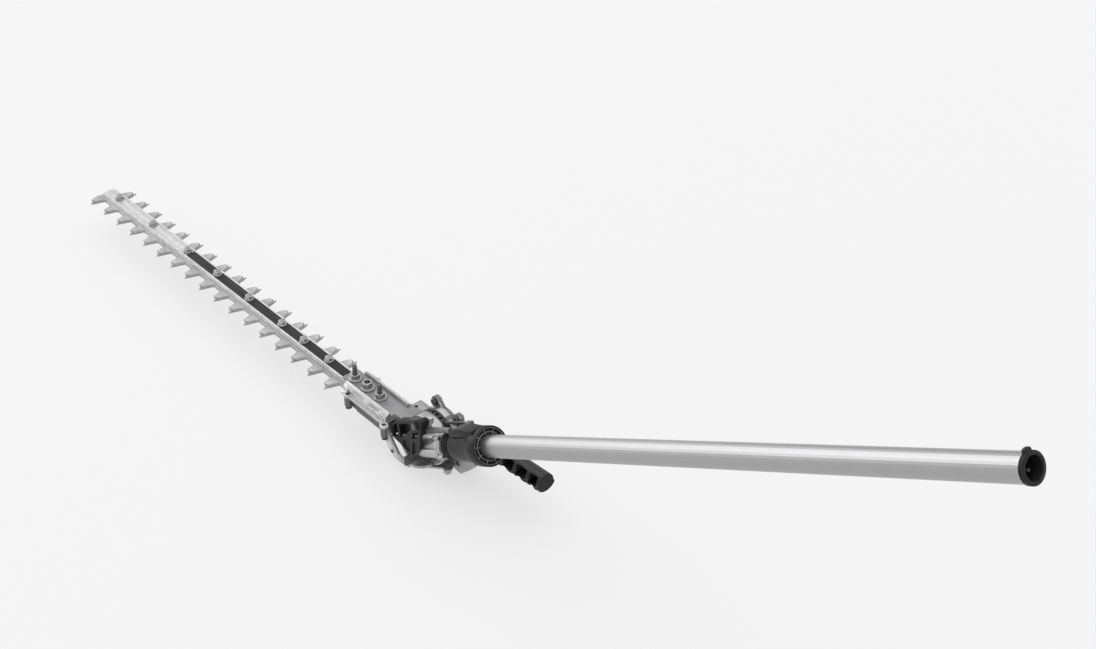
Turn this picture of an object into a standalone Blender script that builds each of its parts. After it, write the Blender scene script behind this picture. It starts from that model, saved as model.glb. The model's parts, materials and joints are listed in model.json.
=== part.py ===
"""Long-reach hedge trimmer head: a double-sided reciprocating cutter bar and its gear case,
hinged on the end of a straight drive tube.

The drive tube carries a shaft inside. A bevel pinion on the shaft turns a crown gear on the swivel
axis, a second pinion takes the drive forward into the gear case, and a crank gear there moves two
blades in opposite directions. A sprung sleeve on the tube holds a pin in a perforated quadrant,
which sets the angle between the cutter bar and the tube.

World frame: origin at the centre of the coupling face on the tube's free end, +X away from the
cutter, +Y towards the quadrant side, +Z up and square to the blades. Work frames: the swivel axis
is the origin of both. HEAD keeps the world's directions. POLE has its X axis along the tube.
All lengths below are millimetres and all angles degrees, unless a name says otherwise.
"""

import math

import bmesh
import bpy
from mathutils import Matrix, Vector

MM = 0.001
GAP = 0.3  # clearance that touching pieces keep
ROUND = 22  # sides of a turned piece

# Drive tube
POLE_ANGLE = 30.7
POLE_LENGTH = 878.0
TUBE_R = 12.6
TUBE_WALL = 1.6
TUBE_START = 70.5
SHAFT_R = 4.0
FORWARD_SHAFT_R = 2.6

# Cutter bar
TOOTH_PITCH = 34.0
LEFT_TEETH = 17
RIGHT_TEETH = 16
FIRST_TOOTH_X = -690.0
TOOTH_REACH = 30.6
BLADE_HALF = 12.0
BLADE_THICK = 1.8
BLADE_TOP_Z = 12.0
STROKE_HALF = 8.5
BAR_END_X = -692.0
RAIL_HALF = 8.8
RAIL_LOW_Z = 12.3
RAIL_TOP_Z = 18.6
RAIL_TAIL_X = -58.0
BOLT_R = 2.5
BOLT_X = (-663.3, -576.4, -490.9, -419.1, -346.7, -274.3, -227.9, -176.4)
STRIP_X = (-484.0, -141.0)

# Gear case
CASE_FRONT_X = -135.0
CASE_REAR_X = -39.5
FLOOR_Z = 22.0
RIDGE_Z = 27.0
FLANGE_Z = 16.7
CASE_SPLIT_Z = 14.0
COLUMN_LOW_Z = 1.0
STUD_X = (-123.0, -75.0)
VENT_X = -99.0
CRANK_X = -77.0
CRANK_R = 16.0
COVER_SCREWS = ((-110.6, -20.8), (-110.6, 20.8), (-37.5, -23.3), (-37.5, 23.3))

# Swivel joint
DRUM_R = 31.2
DRUM_Y = (8.3, 19.7)
QUADRANT_Y = (20.0, 27.0)
DISC_Y = (27.4, 35.0)
DISC_R = 32.0
EAR_Y = (34.6, 37.2)
PIN_R = 5.0
CROWN_R = 28.0
HOLE_STEP = 13.2
HOLES_BEFORE = 5
HOLES_AFTER = 4
LOCK_N = 15.5  # height of the locking pin above the tube's axis
LOCK_Y = 23.5
EAR_SCREWS = ((-15.7, 33.6), (24.1, 31.0))
LUG_SCREW = (30.0, -22.0)

# Locking sleeve
SLEEVE = (70.0, 147.0)
CREST_START = 92.0
RELEASE_ROD = (-8.5, 21.5)
SPRING = (85.4, 111.6)

# Handle
GRIP_ANGLE = 4.0
GRIP_END = (158.0, 50.5, 15.3)
GRIP_R = 11.0
GRIP_POCKETS = ((-61.0, -43.5), (-38.5, -22.0), (-16.5, -3.8))


# ---------------------------------------------------------------- frames, collections, materials

for old in list(bpy.data.objects):
    bpy.data.objects.remove(old, do_unlink=True)

scene = bpy.context.scene
scene.unit_settings.system = "METRIC"


def new_collection(name, hidden=False):
    collection = bpy.data.collections.new(name)
    scene.collection.children.link(collection)
    collection.hide_render = hidden
    return collection


PARTS = new_collection("pole_hedge_trimmer")
CUTTERS = new_collection("cutters", hidden=True)

TILT = math.radians(POLE_ANGLE)
SWIVEL = Vector((-POLE_LENGTH * math.cos(TILT), 0.0, -POLE_LENGTH * math.sin(TILT))) * MM


def new_frame(name, tilt=0.0, offset=(0.0, 0.0, 0.0)):
    frame = bpy.data.objects.new(name, None)
    frame.empty_display_size = 0.03
    frame.location = SWIVEL + Vector(offset) * MM
    frame.rotation_euler = (0.0, -tilt, 0.0)
    PARTS.objects.link(frame)
    return frame


HEAD = new_frame("swivel_axis_head")
POLE = new_frame("swivel_axis_pole", TILT)
GRIP = new_frame("grip_end", math.radians(GRIP_ANGLE), GRIP_END)


def new_material(name, colour, roughness, metallic=0.0):
    material = bpy.data.materials.new(name)
    material.use_nodes = True
    shader = material.node_tree.nodes["Principled BSDF"]
    shader.inputs["Base Color"].default_value = (*colour, 1.0)
    shader.inputs["Roughness"].default_value = roughness
    shader.inputs["Metallic"].default_value = metallic
    return material


CAST = new_material("cast_alloy", (0.62, 0.62, 0.63), 0.42, 0.7)
DARK_CAST = new_material("dark_cast", (0.16, 0.16, 0.17), 0.55, 0.3)
TUBE_METAL = new_material("anodised_tube", (0.72, 0.72, 0.73), 0.32, 1.0)
STEEL = new_material("ground_steel", (0.55, 0.56, 0.57), 0.30, 1.0)
BLADE_STEEL = new_material("blade_steel", (0.48, 0.48, 0.49), 0.34, 1.0)
RAIL_STEEL = new_material("rail_steel", (0.60, 0.60, 0.61), 0.38, 1.0)
BLACK_STEEL = new_material("blackened_steel", (0.03, 0.03, 0.032), 0.40, 0.8)
BLACK_PLASTIC = new_material("black_plastic", (0.045, 0.045, 0.047), 0.55)
STRIP_BLACK = new_material("strip_black", (0.03, 0.03, 0.03), 0.65)


# ---------------------------------------------------------------- shape helpers

AXES = {"X": Vector((1, 0, 0)), "Y": Vector((0, 1, 0)), "Z": Vector((0, 0, 1))}


def add_mesh(name, mesh, frame, material=None):
    """Link a mesh whose points are in a frame's millimetres, as a part or, with no material, a cutter."""
    mesh.transform(Matrix.Scale(MM, 4))
    obj = bpy.data.objects.new(name, mesh)
    (PARTS if material else CUTTERS).objects.link(obj)
    obj.parent = frame
    if material:
        mesh.materials.append(material)
        mesh.shade_smooth()
        mesh.set_sharp_from_angle(angle=math.radians(35))
    else:
        obj.hide_render = True
        obj.display_type = "WIRE"
    return obj


def mesh_from(bm):
    mesh = bpy.data.meshes.new("mesh")
    bmesh.ops.recalc_face_normals(bm, faces=bm.faces)
    if bm.calc_volume(signed=True) < 0:
        bmesh.ops.reverse_faces(bm, faces=bm.faces)
    bm.to_mesh(mesh)
    bm.free()
    return mesh


def rod(name, frame, axis, span, radius, centre=(0, 0), material=None, radius_end=None, sides=ROUND):
    """Cylinder or cone along an axis. centre holds its place on the other two axes, in order."""
    low, high = span
    bm = bmesh.new()
    bmesh.ops.create_cone(
        bm,
        cap_ends=True,
        segments=sides,
        radius1=radius,
        radius2=radius if radius_end is None else radius_end,
        depth=high - low,
    )
    bmesh.ops.translate(bm, verts=bm.verts, vec=(0, 0, (low + high) / 2))
    turn = AXES["Z"].rotation_difference(AXES[axis]).to_matrix()
    bmesh.ops.rotate(bm, verts=bm.verts, matrix=turn)
    places = list(centre)
    places.insert("XYZ".index(axis), 0)
    bmesh.ops.translate(bm, verts=bm.verts, vec=places)
    return add_mesh(name, mesh_from(bm), frame, material)


def block(name, frame, low, high, material=None):
    bm = bmesh.new()
    bmesh.ops.create_cube(bm, size=1)
    low, high = Vector(low), Vector(high)
    bmesh.ops.scale(bm, verts=bm.verts, vec=high - low)
    bmesh.ops.translate(bm, verts=bm.verts, vec=(low + high) / 2)
    return add_mesh(name, mesh_from(bm), frame, material)


def circle(radius, centre=(0, 0), sides=ROUND, start=0.0):
    turn = 2 * math.pi / sides
    return [
        (centre[0] + radius * math.cos(start + i * turn), centre[1] + radius * math.sin(start + i * turn))
        for i in range(sides)
    ]


def arc(radius, start, end, centre=(0, 0), steps=8):
    angles = [math.radians(start + (end - start) * i / steps) for i in range(steps + 1)]
    return [(centre[0] + radius * math.cos(a), centre[1] + radius * math.sin(a)) for a in angles]


def capsule(half_length, radius, centre):
    right = arc(radius, -90, 90, (centre[0] + half_length, centre[1]), 3)
    left = arc(radius, 90, 270, (centre[0] - half_length, centre[1]), 3)
    return right + left


def plate(name, frame, axis, span, loops, material=None):
    """Flat outline with holes, given thickness along an axis. Loops hold the other two axes, in order."""
    low, high = span
    curve = bpy.data.curves.new(name, "CURVE")
    curve.dimensions = "2D"
    curve.fill_mode = "BOTH"
    curve.extrude = (high - low) / 2
    for loop in loops:
        spline = curve.splines.new("POLY")
        spline.points.add(len(loop) - 1)
        for point, (u, v) in zip(spline.points, loop):
            point.co = (u, v, 0, 1)
        spline.use_cyclic_u = True
    holder = bpy.data.objects.new(name + "_outline", curve)
    scene.collection.objects.link(holder)
    graph = bpy.context.evaluated_depsgraph_get()
    mesh = bpy.data.meshes.new_from_object(holder.evaluated_get(graph))
    bpy.data.objects.remove(holder, do_unlink=True)
    bpy.data.curves.remove(curve)
    mesh.materials.clear()
    bm = bmesh.new()
    bm.from_mesh(mesh)
    bpy.data.meshes.remove(mesh)
    bmesh.ops.remove_doubles(bm, verts=bm.verts, dist=0.001)
    middle = (low + high) / 2
    for vert in bm.verts:
        u, v, w = vert.co
        vert.co = {"X": (w + middle, u, v), "Y": (u, w + middle, v), "Z": (u, v, w + middle)}[axis]
    return add_mesh(name, mesh_from(bm), frame, material)


def turned(name, frame, axis, profile, material=None, sides=ROUND):
    """Ring turned about a frame axis from a closed profile of (radius, place along the axis)."""
    bm = bmesh.new()
    verts = [bm.verts.new((r, 0, s)) for r, s in profile]
    edges = [bm.edges.new((a, b)) for a, b in zip(verts, verts[1:] + verts[:1])]
    bmesh.ops.spin(
        bm,
        geom=verts + edges,
        cent=(0, 0, 0),
        axis=(0, 0, 1),
        angle=2 * math.pi,
        steps=sides,
        use_merge=True,
    )
    bmesh.ops.remove_doubles(bm, verts=bm.verts, dist=0.001)
    turn = AXES["Z"].rotation_difference(AXES[axis]).to_matrix()
    bmesh.ops.rotate(bm, verts=bm.verts, matrix=turn)
    return add_mesh(name, mesh_from(bm), frame, material)


def ring_profile(inner, outer, span):
    return [(inner, span[0]), (outer, span[0]), (outer, span[1]), (inner, span[1])]


def combine(obj, operation, *others):
    for other in others:
        modifier = obj.modifiers.new(f"{operation.lower()}_{other.name}", "BOOLEAN")
        modifier.operation = operation
        modifier.object = other
        modifier.solver = "EXACT"
    return obj


def cut(obj, *others):
    return combine(obj, "DIFFERENCE", *others)


def join(obj, *others):
    return combine(obj, "UNION", *others)


def gear(name, frame, axis, span, teeth, root, tip, bore, material, centre=(0, 0)):
    outline = []
    for i in range(teeth):
        for share, radius in ((-0.30, root), (-0.14, tip), (0.14, tip), (0.30, root)):
            angle = 2 * math.pi * (i + share) / teeth
            outline.append((centre[0] + radius * math.cos(angle), centre[1] + radius * math.sin(angle)))
    return plate(name, frame, axis, span, [outline, circle(bore, centre, 16)], material)


def bolt(name, frame, axis, head_span, shank_span, head_r, shank_r, centre, material):
    """Hexagon-headed screw: the head and the shank overlap and are joined."""
    body = rod(name, frame, axis, head_span, head_r, centre, material, sides=6)
    shank = rod(name + "_shank", frame, axis, shank_span, shank_r, centre, sides=12)
    return join(body, shank)


def flange_nut(name, frame, base, centre, flange_r, hex_r, height, bore, material):
    """Nut with a round flange, standing on base along Z."""
    body = rod(name, frame, "Z", (base, base + 1.6), flange_r, centre, material, flange_r - 0.8, 20)
    hexagon = rod(name + "_hexagon", frame, "Z", (base + 0.8, base + height), hex_r, centre, sides=6)
    hole = rod(name + "_bore", frame, "Z", (base - 2, base + height + 2), bore, centre, sides=12)
    return cut(join(body, hexagon), hole)


# ---------------------------------------------------------------- cutter bar

# One tooth, from its front root to its back root, as steps along and out from the bar
UPPER_TOOTH = ((-9.4, 0), (-7.0, 0.70), (-2.4, 0.80), (2.6, 0.62), (4.4, 0.32), (7.4, 0))
LOWER_TOOTH = ((-9.0, 0), (-5.4, 0.55), (-2.6, 0.78), (0.6, 1.0), (3.3, 0.65), (4.4, 0.32), (7.0, 0))


def tooth_row(tooth, count, first_x, side):
    """Points of one side's teeth, from the bar's tip to the gear case."""
    reach = TOOTH_REACH - BLADE_HALF
    return [
        (first_x + i * TOOTH_PITCH + along, side * (BLADE_HALF + out * reach))
        for i in range(count)
        for along, out in tooth
    ]


def make_blade(name, tooth, low_z):
    """Toothed blade whose tail opens into a wide window around the crank."""
    left = tooth_row(tooth, LEFT_TEETH, FIRST_TOOTH_X, -1)
    right = tooth_row(tooth, RIGHT_TEETH, FIRST_TOOTH_X + TOOTH_PITCH / 2, 1)
    window_x = 2 * STROKE_HALF + 4.4
    window_y = STROKE_HALF + 4.5
    yoke_x = window_x + 1.8
    yoke_y = window_y + 2.6
    front = FIRST_TOOTH_X - 8.0
    outline = [(front, -9.0), (front + 1.0, -BLADE_HALF + 0.6), *left]
    outline += [(CRANK_X - yoke_x - 12, -BLADE_HALF), (CRANK_X - yoke_x, -yoke_y)]
    outline += [(CRANK_X + yoke_x, -yoke_y), (CRANK_X + yoke_x, yoke_y)]
    outline += [(CRANK_X - yoke_x, yoke_y), (CRANK_X - yoke_x - 12, BLADE_HALF)]
    outline += [*reversed(right), (front + 1.0, BLADE_HALF - 0.6), (front, 9.0)]
    window = [
        (CRANK_X + i * window_x, j * window_y) for i, j in ((-1, -1), (1, -1), (1, 1), (-1, 1))
    ]
    slots = [capsule(STROKE_HALF + 0.4, BOLT_R + 0.5, (x, 0)) for x in BOLT_X]
    return plate(name, HEAD, "Z", (low_z, low_z + BLADE_THICK), [outline, window, *slots], BLADE_STEEL)


def make_cutter_bar():
    upper_low = BLADE_TOP_Z - BLADE_THICK
    make_blade("upper_blade", UPPER_TOOTH, upper_low)
    make_blade("lower_blade", LOWER_TOOTH, upper_low - GAP - BLADE_THICK)
    rail_outline = [
        (BAR_END_X, -RAIL_HALF + 1.5),
        (BAR_END_X + 1.5, -RAIL_HALF),
        (RAIL_TAIL_X, -RAIL_HALF),
        (RAIL_TAIL_X, RAIL_HALF),
        (BAR_END_X + 1.5, RAIL_HALF),
        (BAR_END_X, RAIL_HALF - 1.5),
    ]
    holes = [circle(BOLT_R + GAP, (x, 0), 10, 0.1) for x in (*BOLT_X, VENT_X)]
    holes += [circle(3.3, (x, 0), 10, 0.1) for x in STUD_X]
    groove_z = RAIL_TOP_Z - 0.9
    rail = plate("guide_rail", HEAD, "Z", (RAIL_LOW_Z, groove_z), [rail_outline, *holes], RAIL_STEEL)
    for side, (inner, outer) in enumerate(((-RAIL_HALF + 0.1, -6.6), (6.6, RAIL_HALF - 0.1))):
        lip_low = (BAR_END_X + 4, inner, groove_z - 0.8)
        join(rail, block(f"rail_lip_{side}", HEAD, lip_low, (RAIL_TAIL_X - 2, outer, RAIL_TOP_Z)))
    x0, x1 = STRIP_X
    strip_outline = [(x0, -6.2), (x1, -6.2), (x1, 6.2), (x0, 6.2)]
    strip_holes = [circle(BOLT_R + GAP, (x, 0), 10, 0.1) for x in BOLT_X if x0 < x < x1]
    strip_z = (groove_z + GAP, RAIL_TOP_Z)
    plate("face_strip", HEAD, "Z", strip_z, [strip_outline, *strip_holes], STRIP_BLACK)
    for number, x in enumerate(BOLT_X, 1):
        make_bar_bolt(number, x, RAIL_TOP_Z + GAP if x > x0 else groove_z + GAP)


def make_bar_bolt(number, x, seat):
    """Shouldered bolt through both blades and the rail, with its flange nut done up on top."""
    head_top = BLADE_TOP_Z - 2 * BLADE_THICK - 2 * GAP
    body = rod(f"bar_bolt_{number}", HEAD, "Z", (head_top - 4, head_top), 5.2, (x, 0), STEEL, 4.8, 12)
    pieces = [
        rod(f"bar_shank_{number}", HEAD, "Z", (head_top - 3, seat + 6.2), BOLT_R, (x, 0), sides=8),
        rod(f"bar_flange_{number}", HEAD, "Z", (seat, seat + 1.4), 6.4, (x, 0), None, 5.6, 14),
        rod(f"bar_hexagon_{number}", HEAD, "Z", (seat + 0.7, seat + 5.0), 5.0, (x, 0), sides=6),
    ]
    join(body, *pieces)


# ---------------------------------------------------------------- gear case

def case_section(scale_x):
    """Right half of the upper case's cross-section, open below, for one side (+1 or -1)."""
    return [
        (scale_x * 23.5, CASE_SPLIT_Z),
        (scale_x * 23.5, FLANGE_Z),
        (scale_x * 19.8, FLANGE_Z + 0.3),
        (scale_x * 19.3, RIDGE_Z - 4.6),
        (scale_x * 14.0, RIDGE_Z - 0.4),
        (scale_x * 12.6, RIDGE_Z),
        (scale_x * 11.5, FLOOR_Z),
    ]


def ring_with_ears(lower):
    """Outline of a ring around the swivel with an ear for each screw, closed by the given lower points."""
    ears = []
    for (x, z), (start, end) in zip(EAR_SCREWS, ((45, 210), (-35, 135))):
        ears.append(arc(6.5, start, end, (x, z), 5))
    return [*lower, *arc(30, 14, 34, steps=2), *ears[1], *arc(30, 66, 98, steps=4), *ears[0]]


def make_case():
    right = case_section(1)
    left = case_section(-1)
    case = plate(
        "gear_case", HEAD, "X", (CASE_FRONT_X, CASE_REAR_X), [[*right, *reversed(left)]], CAST
    )
    bosses = [
        rod(f"flange_boss_{i}", HEAD, "Z", (CASE_SPLIT_Z, FLANGE_Z), 5.2, xy, sides=20)
        for i, xy in enumerate(COVER_SCREWS)
    ]
    # Middle block that carries the forward shaft, the right arm, and the disc beside the quadrant
    web = block("shaft_block", HEAD, (CASE_REAR_X - 4, -5.0, -7.0), (-14.0, DRUM_Y[1], FLOOR_Z))
    arm = block("right_arm", HEAD, (-43.3, 19.0, CASE_SPLIT_Z), (-8, DISC_Y[1], FLANGE_Z + 2.5))
    disc = rod("right_disc", HEAD, "Y", DISC_Y, DISC_R, (0, 0), sides=36)
    ears = plate("right_ears", HEAD, "Y", EAR_Y, [ring_with_ears(arc(30, 130, 360, steps=12))])
    lug = plate(
        "handle_lug",
        HEAD,
        "Y",
        (DISC_Y[0], EAR_Y[1]),
        [[(10, -28), (20, -36), (36, -38), (54, -21), (63, -9), (56, 0), (24, 12)]],
    )
    # Left wall, curving down from the flange, and the bowl under the swivel
    wall = plate(
        "left_wall", HEAD, "Y", (-23.4, -20.8),
        [[(-36.5, FLANGE_Z), (-36.5, -8.5), (-28, -16), (-22.5, -19.3), (-14, -21.6), (2, -22),
          (2, -15), (-12, -11), (-20, -2), (-28, 9), (-32, CASE_SPLIT_Z), (-32, FLANGE_Z)]],
    )
    bowl = plate(
        "bowl", HEAD, "Y", (-21.2, DRUM_Y[0] - GAP),
        [[*arc(32.3, -126, -70, steps=8), *arc(29.0, -70, -126, steps=8)]],
    )
    bowl_back = plate(
        "bowl_back", HEAD, "Y", (-7.4, DRUM_Y[0] - GAP),
        [[*arc(32.3, -180, -120, steps=6), *arc(29.0, -120, -180, steps=6)]],
    )
    sump = plate(
        "sump", HEAD, "Z", (-34.4, -32.0),
        [[(-24, -13), (-16, -13), (-8, -9), (0, -3), (11, 7.5), (19, 14), (29, 17), (27, 24), (14, 35), (-24, 35)]],
    )
    sump_boss = rod("sump_boss", HEAD, "Z", (-37.0, -31.9), 4.8, (24, 18), sides=20)
    join(case, *bosses, web, arm, disc, ears, lug, bowl, bowl_back, wall, sump, sump_boss)

    cavity = block("case_cavity", HEAD, (CASE_FRONT_X - 5, -17, -30), (CASE_REAR_X - 4, 17, FLOOR_Z - 1.6))
    neck_sweep = rod("neck_sweep", HEAD, "Y", (-16, DRUM_Y[0] - GAP), 26.7, sides=32)
    drum_seat = rod("drum_seat", HEAD, "Y", (DRUM_Y[0] - GAP - 1, DRUM_Y[1] + GAP), DRUM_R + 0.5, sides=36)
    quadrant_seat = rod("quadrant_seat", HEAD, "Y", (DRUM_Y[1], QUADRANT_Y[1] + GAP), 31.9, sides=36)
    pin_hole = rod("swivel_pin_hole", HEAD, "Y", (-28.4, 50), PIN_R + GAP, sides=ROUND)
    shaft_hole = rod("forward_shaft_hole", HEAD, "X", (-60, 0), FORWARD_SHAFT_R + 0.4, sides=ROUND)
    pinion_pocket = rod("forward_pinion_pocket", HEAD, "X", (-30.5, -10.0), 8.0, sides=ROUND)
    bearing_hole = rod("forward_bearing_hole", HEAD, "X", (-60, -31.5), 6.5, sides=ROUND)
    bowl_side = plate(
        "bowl_side_cut", HEAD, "X", (-60, 40),
        [[(-30, -16), (-24.5, -19.5), (-21.5, -23.5), (-12.5, -33.6), (-12.5, -60), (-30, -60)]],
    )
    bowl_corner = plate(
        "bowl_corner_cut", HEAD, "Z", (-60, 13),
        [[(-6, -30), (-6, -12.6), (3.3, -5.7), (16, 8.0), (40, 8.0), (40, -30)]],
    )
    columns = [
        rod(f"column_clearance_{i}", HEAD, "Z", (-4.5, CASE_SPLIT_Z), 5.2, xy, sides=20)
        for i, xy in enumerate(COVER_SCREWS[2:])
    ]
    rib_clearance = block("rib_clearance", HEAD, (-60, 17.6, COLUMN_LOW_Z - GAP), (-37.5, 24, CASE_SPLIT_Z))
    cutters = [cavity, neck_sweep, drum_seat, quadrant_seat, pin_hole, shaft_hole, pinion_pocket]
    cut(case, *cutters, bearing_hole, bowl_side, bowl_corner, rib_clearance, *columns)
    for i, xy in enumerate(COVER_SCREWS):
        cut(case, rod(f"flange_hole_{i}", HEAD, "Z", (-20, 40), 2.5, xy, sides=16))
    for i, x in enumerate(STUD_X):
        cut(case, rod(f"stud_hole_{i}", HEAD, "Z", (10, 40), 3.3, (x, 0), sides=16))
    cut(case, rod("vent_hole", HEAD, "Z", (10, 40), 3.0, (VENT_X, 0), sides=16))
    for i, xz in enumerate((*EAR_SCREWS, LUG_SCREW)):
        cut(case, rod(f"ear_hole_{i}", HEAD, "Y", (20, 50), 2.3, xz, sides=16))


def make_cover():
    """Pan under the gear case, with a column under each flange screw."""
    low = -7.6
    top = CASE_SPLIT_Z - GAP
    section = [(-18.6, top), (-18.6, -2.0), (-11.0, low), (11.0, low), (18.6, -2.0), (18.6, top)]
    pan = plate("case_cover", HEAD, "X", (-121.5, -44.0), [section], DARK_CAST)
    inner = [(-16.8, 40.0), (-16.8, -1.0), (-10.0, low + 1.8), (10.0, low + 1.8), (16.8, -1.0), (16.8, 40.0)]
    for side in (-1, 1):
        y = sorted((side * 16.2, side * 30.0))
        cut(pan, block(f"cover_side_{side}", HEAD, (-125, y[0], -20), (-98, y[1], COLUMN_LOW_Z - 0.1)))
    for i, (x, y) in enumerate(COVER_SCREWS):
        column = rod(f"cover_column_{i}", HEAD, "Z", (COLUMN_LOW_Z, top), 4.6, (x, y), sides=20)
        rib_y = sorted((math.copysign(18.0, y), math.copysign(21.0, y)))
        rib = block(f"cover_rib_{i}", HEAD, (min(x, -50), rib_y[0], COLUMN_LOW_Z), (max(x, -50), rib_y[1], top))
        join(pan, column)
        if x > -44:
            join(pan, rib)
    inside = plate("cover_cavity", HEAD, "X", (-96.2, -46.2), [inner])
    front_low = block("cover_front_cavity", HEAD, (-119.5, -14.4, -4.0), (-95, 14.4, 5))
    front_high = block("cover_front_cavity_upper", HEAD, (-119.5, -16.8, COLUMN_LOW_Z + 1.6), (-95, 16.8, 40))
    blade_gap = block("cover_blade_gap", HEAD, (-140, -16.8, 5.0), (-112, 16.8, 40))
    shaft_slot = block("cover_shaft_slot", HEAD, (-60, -6.9, -6.3), (-40, 6.9, 40))
    yoke_gap = block("cover_yoke_gap", HEAD, (-60, -15.6, 7.5), (-40, 15.6, 40))
    cut(pan, inside, front_low, front_high, blade_gap, shaft_slot, yoke_gap)
    for i, xy in enumerate(COVER_SCREWS):
        cut(pan, rod(f"cover_hole_{i}", HEAD, "Z", (-20, 40), 2.5, xy, sides=16))
    for number, xy in enumerate(COVER_SCREWS, 1):
        bolt(
            f"cover_screw_{number}", HEAD, "Z", (COLUMN_LOW_Z - 4.0, COLUMN_LOW_Z - GAP),
            (COLUMN_LOW_Z - 2, FLANGE_Z - 0.5), 4.2, 2.2, xy, BLACK_STEEL,
        )


def make_case_fasteners():
    for number, x in enumerate(STUD_X, 1):
        rod(f"case_stud_{number}", HEAD, "Z", (RAIL_LOW_Z + 0.2, 41.0), 3.0, (x, 0), BLACK_STEEL, sides=16)
        flange_nut(
            f"case_nut_{number}", HEAD, FLOOR_Z + GAP, (x, 0), 9.0, 6.6, 7.4, 3.2, STEEL
        )
    body = rod("vent_plug", HEAD, "Z", (FLOOR_Z + GAP, FLOOR_Z + 2), 9.0, (VENT_X, 0), STEEL, 8.4, 24)
    collar = rod("vent_plug_hexagon", HEAD, "Z", (FLOOR_Z + 1, FLOOR_Z + 9.5), 6.6, (VENT_X, 0), sides=6)
    spigot = rod("vent_plug_spigot", HEAD, "Z", (RAIL_TOP_Z + 1.6, FLOOR_Z + 2), 2.7, (VENT_X, 0), sides=16)
    bore = rod("vent_plug_bore", HEAD, "Z", (FLOOR_Z + 2.5, 60), 3.6, (VENT_X, 0), sides=20)
    cut(join(body, collar, spigot), bore)


# ---------------------------------------------------------------- gear train

def make_gear_train():
    crown = gear(
        "crown_gear", HEAD, "Y", (DRUM_Y[0] + 0.4, DRUM_Y[0] + 6.4), 20, CROWN_R - 2.6, CROWN_R,
        PIN_R + 0.2, STEEL,
    )
    dish = turned(
        "crown_dish", HEAD, "Y", ring_profile(PIN_R + 5.0, CROWN_R - 8.0, (DRUM_Y[0] - 3, DRUM_Y[0] + 3.0))
    )
    cut(crown, dish)
    # Pinion at the end of the drive shaft, on the pole's axis
    gear("drive_pinion", POLE, "X", (19.5, 28.5), 10, 5.8, 7.6, SHAFT_R + 0.15, STEEL)
    rod("drive_shaft", POLE, "X", (18.5, POLE_LENGTH - 18.0), SHAFT_R, material=STEEL, sides=16)
    turned("shaft_bearing_front", POLE, "X", ring_profile(SHAFT_R + 0.2, 7.6, (30.0, 38.0)), STEEL, 24)
    for number, place in enumerate((330.0, 600.0), 1):
        turned(
            f"shaft_bush_{number}", POLE, "X",
            ring_profile(SHAFT_R + 0.2, TUBE_R - TUBE_WALL - 0.2, (place, place + 14)), BLACK_PLASTIC, 24,
        )
    # Forward shaft, bearing and pinions inside the case
    bore = FORWARD_SHAFT_R + 0.15
    gear("forward_pinion", HEAD, "X", (-28.5, -20.0), 10, 5.8, 7.2, bore, STEEL)
    rod("forward_shaft", HEAD, "X", (-67.0, -19.5), FORWARD_SHAFT_R, material=STEEL, sides=16)
    turned("forward_bearing", HEAD, "X", ring_profile(bore, 6.2, (-43.0, -32.0)), STEEL, 20)
    gear("crank_pinion", HEAD, "X", (-66.5, -61.0), 8, 3.4, 4.3, bore, STEEL)
    # Crank gear with its two pins, on a shaft that stands in the cover
    wheel = gear("crank_gear", HEAD, "Z", (4.6, 7.6), 16, CRANK_R - 2.2, CRANK_R, 3.2, STEEL, (CRANK_X, 0))
    ledge = rod("crank_lower_pin", HEAD, "Z", (6.0, 9.6), 4.0, (CRANK_X, -STROKE_HALF), sides=20)
    crest = rod("crank_upper_pin", HEAD, "Z", (6.0, 11.7), 4.0, (CRANK_X, STROKE_HALF), sides=20)
    join(wheel, ledge, crest)
    rod("crank_axle", HEAD, "Z", (-5.5, 7.2), 3.0, (CRANK_X, 0), STEEL, sides=20)


# ---------------------------------------------------------------- swivel joint

def make_swivel():
    pin = rod("swivel_pin", HEAD, "Y", (-14.0, 36.5), PIN_R, material=STEEL)
    join(pin, rod("swivel_pin_head", HEAD, "Y", (-14.6, -12.7), 7.0, sides=24))
    drum = rod("joint_drum", HEAD, "Y", DRUM_Y, DRUM_R, material=CAST, sides=36)
    hollow = rod("drum_hollow", HEAD, "Y", (0, DRUM_Y[1] - 3.2), CROWN_R + 0.6, sides=30)
    hole = rod("drum_hole", HEAD, "Y", (0, 40), PIN_R + GAP, sides=ROUND)
    cut(drum, hollow, hole)
    turned("joint_seal", HEAD, "Y", ring_profile(20.0, 26.0, (DRUM_Y[1] - 4.3, DRUM_Y[1] - 3.5)), BLACK_PLASTIC)

    quadrant = plate(
        "locking_quadrant", HEAD, "Y", QUADRANT_Y,
        [arc(31.0, -15, 122, steps=20) + arc(26.5, 122, -15, steps=20)], BLACK_STEEL,
    )
    for i in range(-HOLES_BEFORE, HOLES_AFTER + 1):
        hole = rod(f"quadrant_hole_{i + HOLES_BEFORE}", HEAD, "X", (15, 40), 2.3, (LOCK_Y, LOCK_N), sides=8)
        hole.data.transform(Matrix.Rotation(-math.radians(POLE_ANGLE + i * HOLE_STEP), 4, "Y"))
        cut(quadrant, hole)


# ---------------------------------------------------------------- handle

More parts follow.
